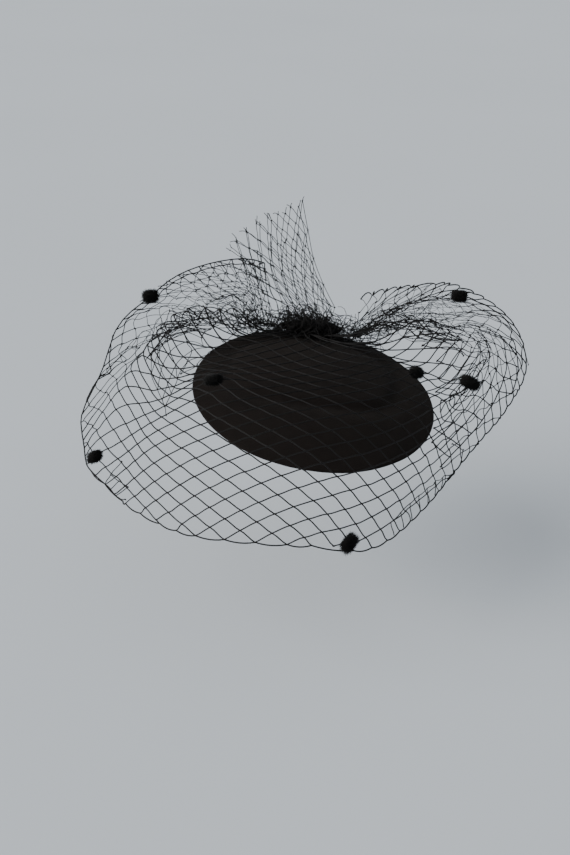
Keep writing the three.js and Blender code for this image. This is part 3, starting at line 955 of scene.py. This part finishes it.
def felt_fuzz(material, random):
    """Short stray fibres all over the felt."""
    reach = BASE_RADIUS * np.sqrt(random.uniform(0, 1, FELT_HAIRS))
    turn = random.uniform(0, 2 * math.pi, FELT_HAIRS)
    upper = random.uniform(0, 1, FELT_HAIRS) < FELT_HAIRS_ABOVE
    height = np.where(upper, dome_top(reach), dome_under(reach))
    roots = np.stack([reach * np.cos(turn), reach * np.sin(turn), height], axis=1)
    roots[upper, 2] -= pressed_in(roots[upper, 0], roots[upper, 1])
    way = random.normal(size=roots.shape)
    way[:, 2] = np.abs(way[:, 2]) * np.where(upper, 1, -1) * FELT_HAIR_RISE
    length = FELT_HAIR_LENGTH * random.uniform(*FELT_HAIR_SHARE, FELT_HAIRS)
    tips = roots + unit(way) * length[:, None]
    fuzz = hairs(tipped(roots), tipped(tips), FELT_HAIR_WIDTH)
    make_piece("felt_fuzz", [fuzz], material)


# Gathered knot
def knot_floor(x, y):
    return dome_top(np.hypot(x, y)) + SEAT_GAP


def knot_top(x, y):
    spread = np.hypot((x - KNOT_X) / KNOT_HALF_LENGTH, (y - KNOT_Y) / KNOT_HALF_DEPTH)
    rest = np.maximum(0, 1 - spread ** (2 / KNOT_FLATNESS))
    return knot_floor(x, y) + KNOT_HALF_HEIGHT * (1 + np.sqrt(rest))


def gathered_core():
    """The tight pleats at the heart of the knot."""
    turn = np.linspace(0, 2 * math.pi, KNOT_TURNS, endpoint=False)
    rings = []
    for ring in range(KNOT_RINGS):
        height = math.pi * ((ring + 0.5) / KNOT_RINGS - 0.5)
        spread = KNOT_CORE * math.cos(height) ** KNOT_FLATNESS
        sway = KNOT_PLEAT_SWAY * math.sin(KNOT_PLEAT_BENDS * height)
        pleat = KNOT_PLEAT_DEPTH * np.cos(KNOT_PLEATS * turn + sway)
        x = KNOT_X + spread * (KNOT_HALF_LENGTH + pleat) * np.cos(turn)
        y = KNOT_Y + spread * (KNOT_HALF_DEPTH + pleat) * np.sin(turn)
        lift = KNOT_HALF_HEIGHT * (1 + KNOT_CORE * math.sin(height))
        rings.append(np.stack([x, y, knot_floor(x, y) + lift], axis=1))
    points, faces = ring_form(rings)
    points = points + KNOT_RUFFLE * waves(points, RUFFLE_LENGTH)
    return off_the_felt(tipped(points)), faces


def curl_line(random):
    """One loose curl of thread near the knot."""
    centre = random.normal(size=3) * CURL_SPREAD
    x = KNOT_X + centre[0]
    y = KNOT_Y + centre[1]
    middle = np.array([x, y, knot_floor(x, y) + CURL_LIFT + centre[2]])
    first = unit(random.normal(size=3))
    second = unit(np.cross(first, random.normal(size=3)))
    angle = random.uniform(0, 2 * math.pi)
    angle = angle + 2 * math.pi * random.uniform(*CURL_TURNS) * np.linspace(0, 1, CURL_STEPS)
    radius = random.uniform(*CURL_RADIUS)
    loop = radius * (np.cos(angle)[:, None] * first + np.sin(angle)[:, None] * second)
    drift = CURL_DRIFT * random.normal(size=3) * np.linspace(-0.5, 0.5, CURL_STEPS)[:, None]
    return off_the_felt(tipped(middle + loop + drift))


def gathered_knot(material, random):
    curls = [tube(curl_line(random), CURL_THREAD) for _ in range(CURLS)]
    make_piece("gathered_knot", [gathered_core()] + curls, material, ["gather_knot"])


# Veil
def veil_section(row):
    leaving = math.radians(row["bearing"])
    arriving = math.radians(row["hem_bearing"])
    x = KNOT_X + (KNOT_HALF_LENGTH + VEIL_START) * math.sin(leaving)
    y = KNOT_Y - (KNOT_HALF_DEPTH + VEIL_START) * math.cos(leaving)
    start = tipped([x, y, knot_floor(x, y) + KNOT_HALF_HEIGHT])
    bearings = {"crown": leaving, "waist": leaving, "belly": 0.5 * (leaving + arriving), "hem": arriving}
    section = [start]
    for place, bearing in bearings.items():
        reach = row[place + "_reach"] / MM_PER_METRE
        rise = row[place + "_rise"] / MM_PER_METRE
        section.append(start + [reach * math.sin(bearing), -reach * math.cos(bearing), rise])
    return section


def veil_cells(bearings):
    """The net's cells at each of the veil's sections."""
    table = dict(zip(CELL_COLUMNS, np.array(CELL_ROWS).T))
    known = table.pop("bearing")
    return {name: np.interp(bearings, known, values) for name, values in table.items()}


def crumple(net, brow):
    """How far each knot is pushed out of place where the net crumples."""
    amount = np.where(net.along < CRUMPLE_SIDES_MEET, CRUMPLE_LEFT, CRUMPLE_RIGHT)
    amount = amount * (1 - brow) * (1 - smooth_step(*CRUMPLE_OUT, net.out))
    return amount[:, None] * waves(net.home, CRUMPLE_LENGTH)


def veil_layer(layer, sheet, bearings, dots, random):
    """One layer of the veil, tied to the dots that it carries, with its threads and beads."""
    first, last = np.interp([layer["from_bearing"], layer["to_bearing"]], bearings, sheet.marks)
    net = Net(sheet, first, last, *[layer[name] for name in LAYER_COLUMNS[2:-1]])
    brow = smooth_step(*LEFT_BROW, net.along) * (1 - smooth_step(*RIGHT_BROW, net.along))
    puff = (1 - brow) * (1 - smooth_step(*PUFF_END, net.out))
    pull = BROW_PULL + (PUFF_PULL - BROW_PULL) * puff
    net.home += crumple(net, brow)
    net.settle(pull, JITTER * (JITTER_LEAST + puff), random, True)
    for node in dots:
        net.tie(dot_frame(node)[0])
    lines = net.thread_lines(random, layer["thread"] * (1 - PUFF_THIN * puff))
    threads = [tube(off_the_felt(line), radii) for line, radii in lines]
    beads = [tube(line, layer["thread"] * BEAD_SHAPE) for line in net.bead_lines()]
    return net, threads, beads


def veil_net(thread, random):
    rows = named_rows(VEIL_COLUMNS, VEIL_ROWS)
    bearings = [row["bearing"] for row in rows]
    sections = [veil_section(row) for row in rows]
    sheet = Sheet(sections, veil_cells(bearings), bearings.index(VEIL_CENTRE))
    whole, *folds = named_rows(LAYER_COLUMNS, LAYER_ROWS)
    net, threads, beads = veil_layer(whole, sheet, bearings, DOT_NODES, random)
    for fold in folds:
        more_threads, more_beads = veil_layer(fold, sheet, bearings, [], random)[1:]
        threads += more_threads
        beads += more_beads
    depth = BROW_ARCH * smooth_step(*BROW_ARCH_FROM, net.along)
    depth += (LOOP_ARCH - BROW_ARCH) * smooth_step(*LOOP_ARCH_FROM, net.along)
    selvage = tube(net.hem_line(depth), SELVAGE)
    make_piece("veil_threads", threads, thread, ["veil_net"])
    make_piece("veil_knots", beads, thread)
    make_piece("veil_selvage", [selvage], thread)


# Fan
def fan_section(row, layer):
    foot_x, tip_x, tip_y, tip_z = np.array(row) / MM_PER_METRE
    shift_x, shift_y, height = layer
    foot = tipped([foot_x, FAN_FOOT_Y, knot_top(foot_x, FAN_FOOT_Y) + SEAT_GAP])
    tip = np.array([tip_x + shift_x, tip_y + shift_y, tip_z])
    tip = foot + height * (tip - foot)
    return [foot, 0.5 * (foot + tip) + FAN_BOW, tip]


def loose_ends(net, random):
    """Cut ends of thread that stand out past the last row of knots."""
    lines = []
    for run in net.runs:
        tip, before = (run[0], run[1]) if net.hem[run[0]] else (run[-1], run[-2])
        if not net.hem[tip]:
            continue
        way = unit(net.points[tip] - net.points[before])
        way = unit(way + LOOSE_STRAY * random.normal(size=3))
        bend = LOOSE_BEND * random.normal(size=3)
        part = np.linspace(0, 1, LOOSE_STEPS)[:, None]
        length = random.uniform(*LOOSE_END)
        lines.append(net.points[tip] + length * (part * way + part ** 2 * bend))
    return lines


def net_fan(thread, random):
    parts = []
    for layer in FAN_LAYERS:
        sections = [fan_section(row, layer) for row in FAN_ROWS]
        cells = {name: np.full(len(sections), value) for name, value in FAN_CELL.items()}
        sheet = Sheet(sections, cells, 0)
        net = Net(sheet, 0, sheet.columns)
        everywhere = np.ones(len(net.home))
        net.settle(BROW_PULL * everywhere, JITTER * everywhere, random, False)
        lines = net.thread_lines(random, FAN_THREAD * everywhere)
        parts += [tube(line, radii) for line, radii in lines]
        parts += [tube(line, FAN_THREAD) for line in loose_ends(net, random)]
        parts.append(tube(net.side_line(sheet.columns), FAN_THREAD))
        parts += [tube(line, FAN_THREAD * BEAD_SHAPE) for line in net.bead_lines()]
    make_piece("fan_threads", parts, thread, ["net_fan"])


# Chenille dots
def dot_frame(node):
    """Middle, axes and half sizes of a dot, longest first, from its solid."""
    points = np.array([vertex.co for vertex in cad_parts[node].data.vertices], float)
    middle = 0.5 * (points.min(axis=0) + points.max(axis=0))
    axes = np.linalg.svd(points - points.mean(axis=0), full_matrices=False)[2]
    spread = (points - middle) @ axes.T
    return middle, axes, 0.5 * (spread.max(axis=0) - spread.min(axis=0))


def barrel(spot, turn):
    """A point on a barrel of half size one: spot runs along it from -1 to 1."""
    waist = (1 - np.abs(spot) ** BARREL_POWER) ** (1 / BARREL_POWER)
    return np.stack([spot, waist * np.cos(turn), waist * np.sin(turn)], axis=-1)


def chenille_dot(number, node, material, random):
    middle, axes, half = dot_frame(node)
    turn = np.linspace(0, 2 * math.pi, DOT_TURNS, endpoint=False)
    rings = []
    for spot in np.linspace(-DOT_END, DOT_END, DOT_RINGS):
        ring = barrel(np.full(DOT_TURNS, spot), turn)
        lumps = [1 + rough(point + number, DOT_LUMP, DOT_LUMP_LENGTH) for point in ring]
        rings.append(ring * np.array(lumps)[:, None] * DOT_CORE)
    points, faces = ring_form(rings)
    parts = [(middle + (points * half) @ axes, faces)]
    spot = random.uniform(-1, 1, DOT_HAIRS)
    around = random.uniform(0, 2 * math.pi, DOT_HAIRS)
    skin = barrel(spot, around)
    length = random.uniform(*DOT_PILE, DOT_HAIRS)
    lean = DOT_HAIR_LEAN * random.normal(size=skin.shape)
    roots = middle + (skin * DOT_CORE * DOT_HAIR_ROOT * half) @ axes
    tips = middle + ((skin * length[:, None] + lean) * half) @ axes
    parts.append(hairs(roots, tips, DOT_HAIR_WIDTH))
    make_piece(f"chenille_tuft_{number}", parts, material, [node])


# Studio
def place_camera(scene):
    lens = bpy.data.cameras.new("camera")
    lens.lens = CAMERA_LENS
    lens.sensor_width = CAMERA_SENSOR
    camera = bpy.data.objects.new("camera", lens)
    camera.location = CAMERA_PLACE
    camera.rotation_euler = (CAMERA_TILT, 0, 0)
    scene.collection.objects.link(camera)
    scene.camera = camera


def lay_floor(scene):
    corners = [(x * FLOOR_HALF, y * FLOOR_HALF, FLOOR_HEIGHT) for x, y in FLOOR_CORNERS]
    mesh = bpy.data.meshes.new("floor")
    mesh.from_pydata(corners, [], [(0, 1, 2, 3)])
    mesh.materials.append(pale_floor())
    floor = bpy.data.objects.new("floor", mesh)
    scene.collection.objects.link(floor)


def hang_lights(scene):
    for row in named_rows(LIGHT_COLUMNS, LIGHT_ROWS):
        lamp = bpy.data.lights.new(row["name"], "SUN")
        lamp.energy = row["strength"]
        lamp.angle = math.radians(row["spread"])
        lamp.color = row["colour"]
        light = bpy.data.objects.new(row["name"], lamp)
        light.location = row["place"]
        light.rotation_euler = Vector(row["place"]).to_track_quat("Z", "Y").to_euler()
        scene.collection.objects.link(light)


def light_room(scene):
    world = bpy.data.worlds.new("soft_room")
    world.use_nodes = True
    room = world.node_tree.nodes["Background"]
    room.inputs["Color"].default_value = WORLD_COLOUR
    room.inputs["Strength"].default_value = WORLD_STRENGTH
    scene.world = world


for set_up in (place_camera, lay_floor, hang_lights, light_room):
    set_up(bpy.context.scene)
random = np.random.default_rng(SEED)
noise.seed_set(SEED)
felt = pressed_felt()
thread = net_thread()
pile = chenille_pile()
felt_base(felt)
felt_fuzz(felt, random)
gathered_knot(thread, random)
veil_net(thread, random)
net_fan(thread, random)
for number, node in enumerate(DOT_NODES, 1):
    chenille_dot(number, node, pile, random)
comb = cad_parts["hair_comb"]
comb.data.materials.clear()
comb.data.materials.append(moulded_comb())
